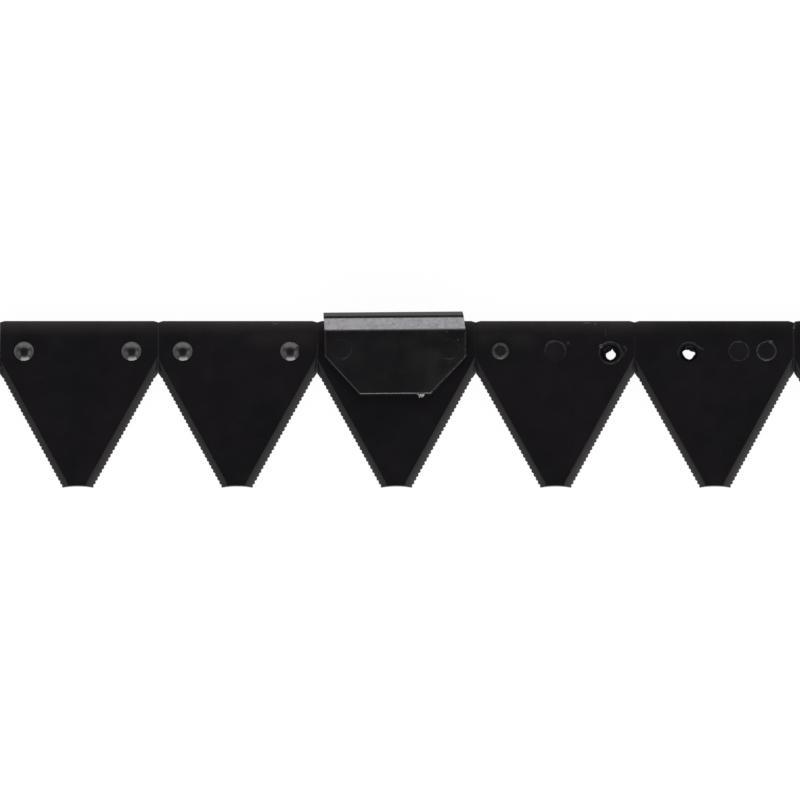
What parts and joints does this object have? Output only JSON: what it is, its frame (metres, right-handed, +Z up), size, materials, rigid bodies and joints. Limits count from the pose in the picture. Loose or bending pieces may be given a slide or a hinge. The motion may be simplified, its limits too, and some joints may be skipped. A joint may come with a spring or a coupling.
{
  "type": "mower blade",
  "caption": "Riveted mower knife: a flat steel bar under a row of bevelled, serrated triangular sections, with a bent guide plate over one and open bolt holes for a drive head.",
  "frame": {"origin": "on the underside of the knife back, under the line of rivets, half way along the knife, at the seam of the third and fourth sections", "axes": "+X along the knife with the drive holes on the +X half, the tips of the sections point to -Y, +Z up with the bevels and rivet heads on top"},
  "size_m": [0.4575, 0.0843, 0.0182],
  "materials": {
    "knife_back": "satin black paint over flat bar",
    "section": "satin black paint over pressed and ground steel, slightly lumpy along the serrated bevel",
    "guide_plate": "gloss black paint over bent steel sheet",
    "rivet": "gloss black paint over set steel rivets"
  },
  "bodies": {
    "root": {"knife_back": "knife_back", "section_1": "section", "section_2": "section", "section_3": "section", "section_4": "section", "section_5": "section", "section_6": "section", "guide_plate": "guide_plate", "rivet_1_left": "rivet", "rivet_1_right": "rivet", "rivet_2_left": "rivet", "rivet_2_right": "rivet", "rivet_3_left": "rivet", "rivet_3_right": "rivet", "rivet_4_left": "rivet", "rivet_4_middle": "rivet", "rivet_5_middle": "rivet", "rivet_5_right": "rivet", "rivet_6_left": "rivet", "rivet_6_right": "rivet"}
  },
  "joints": []
}
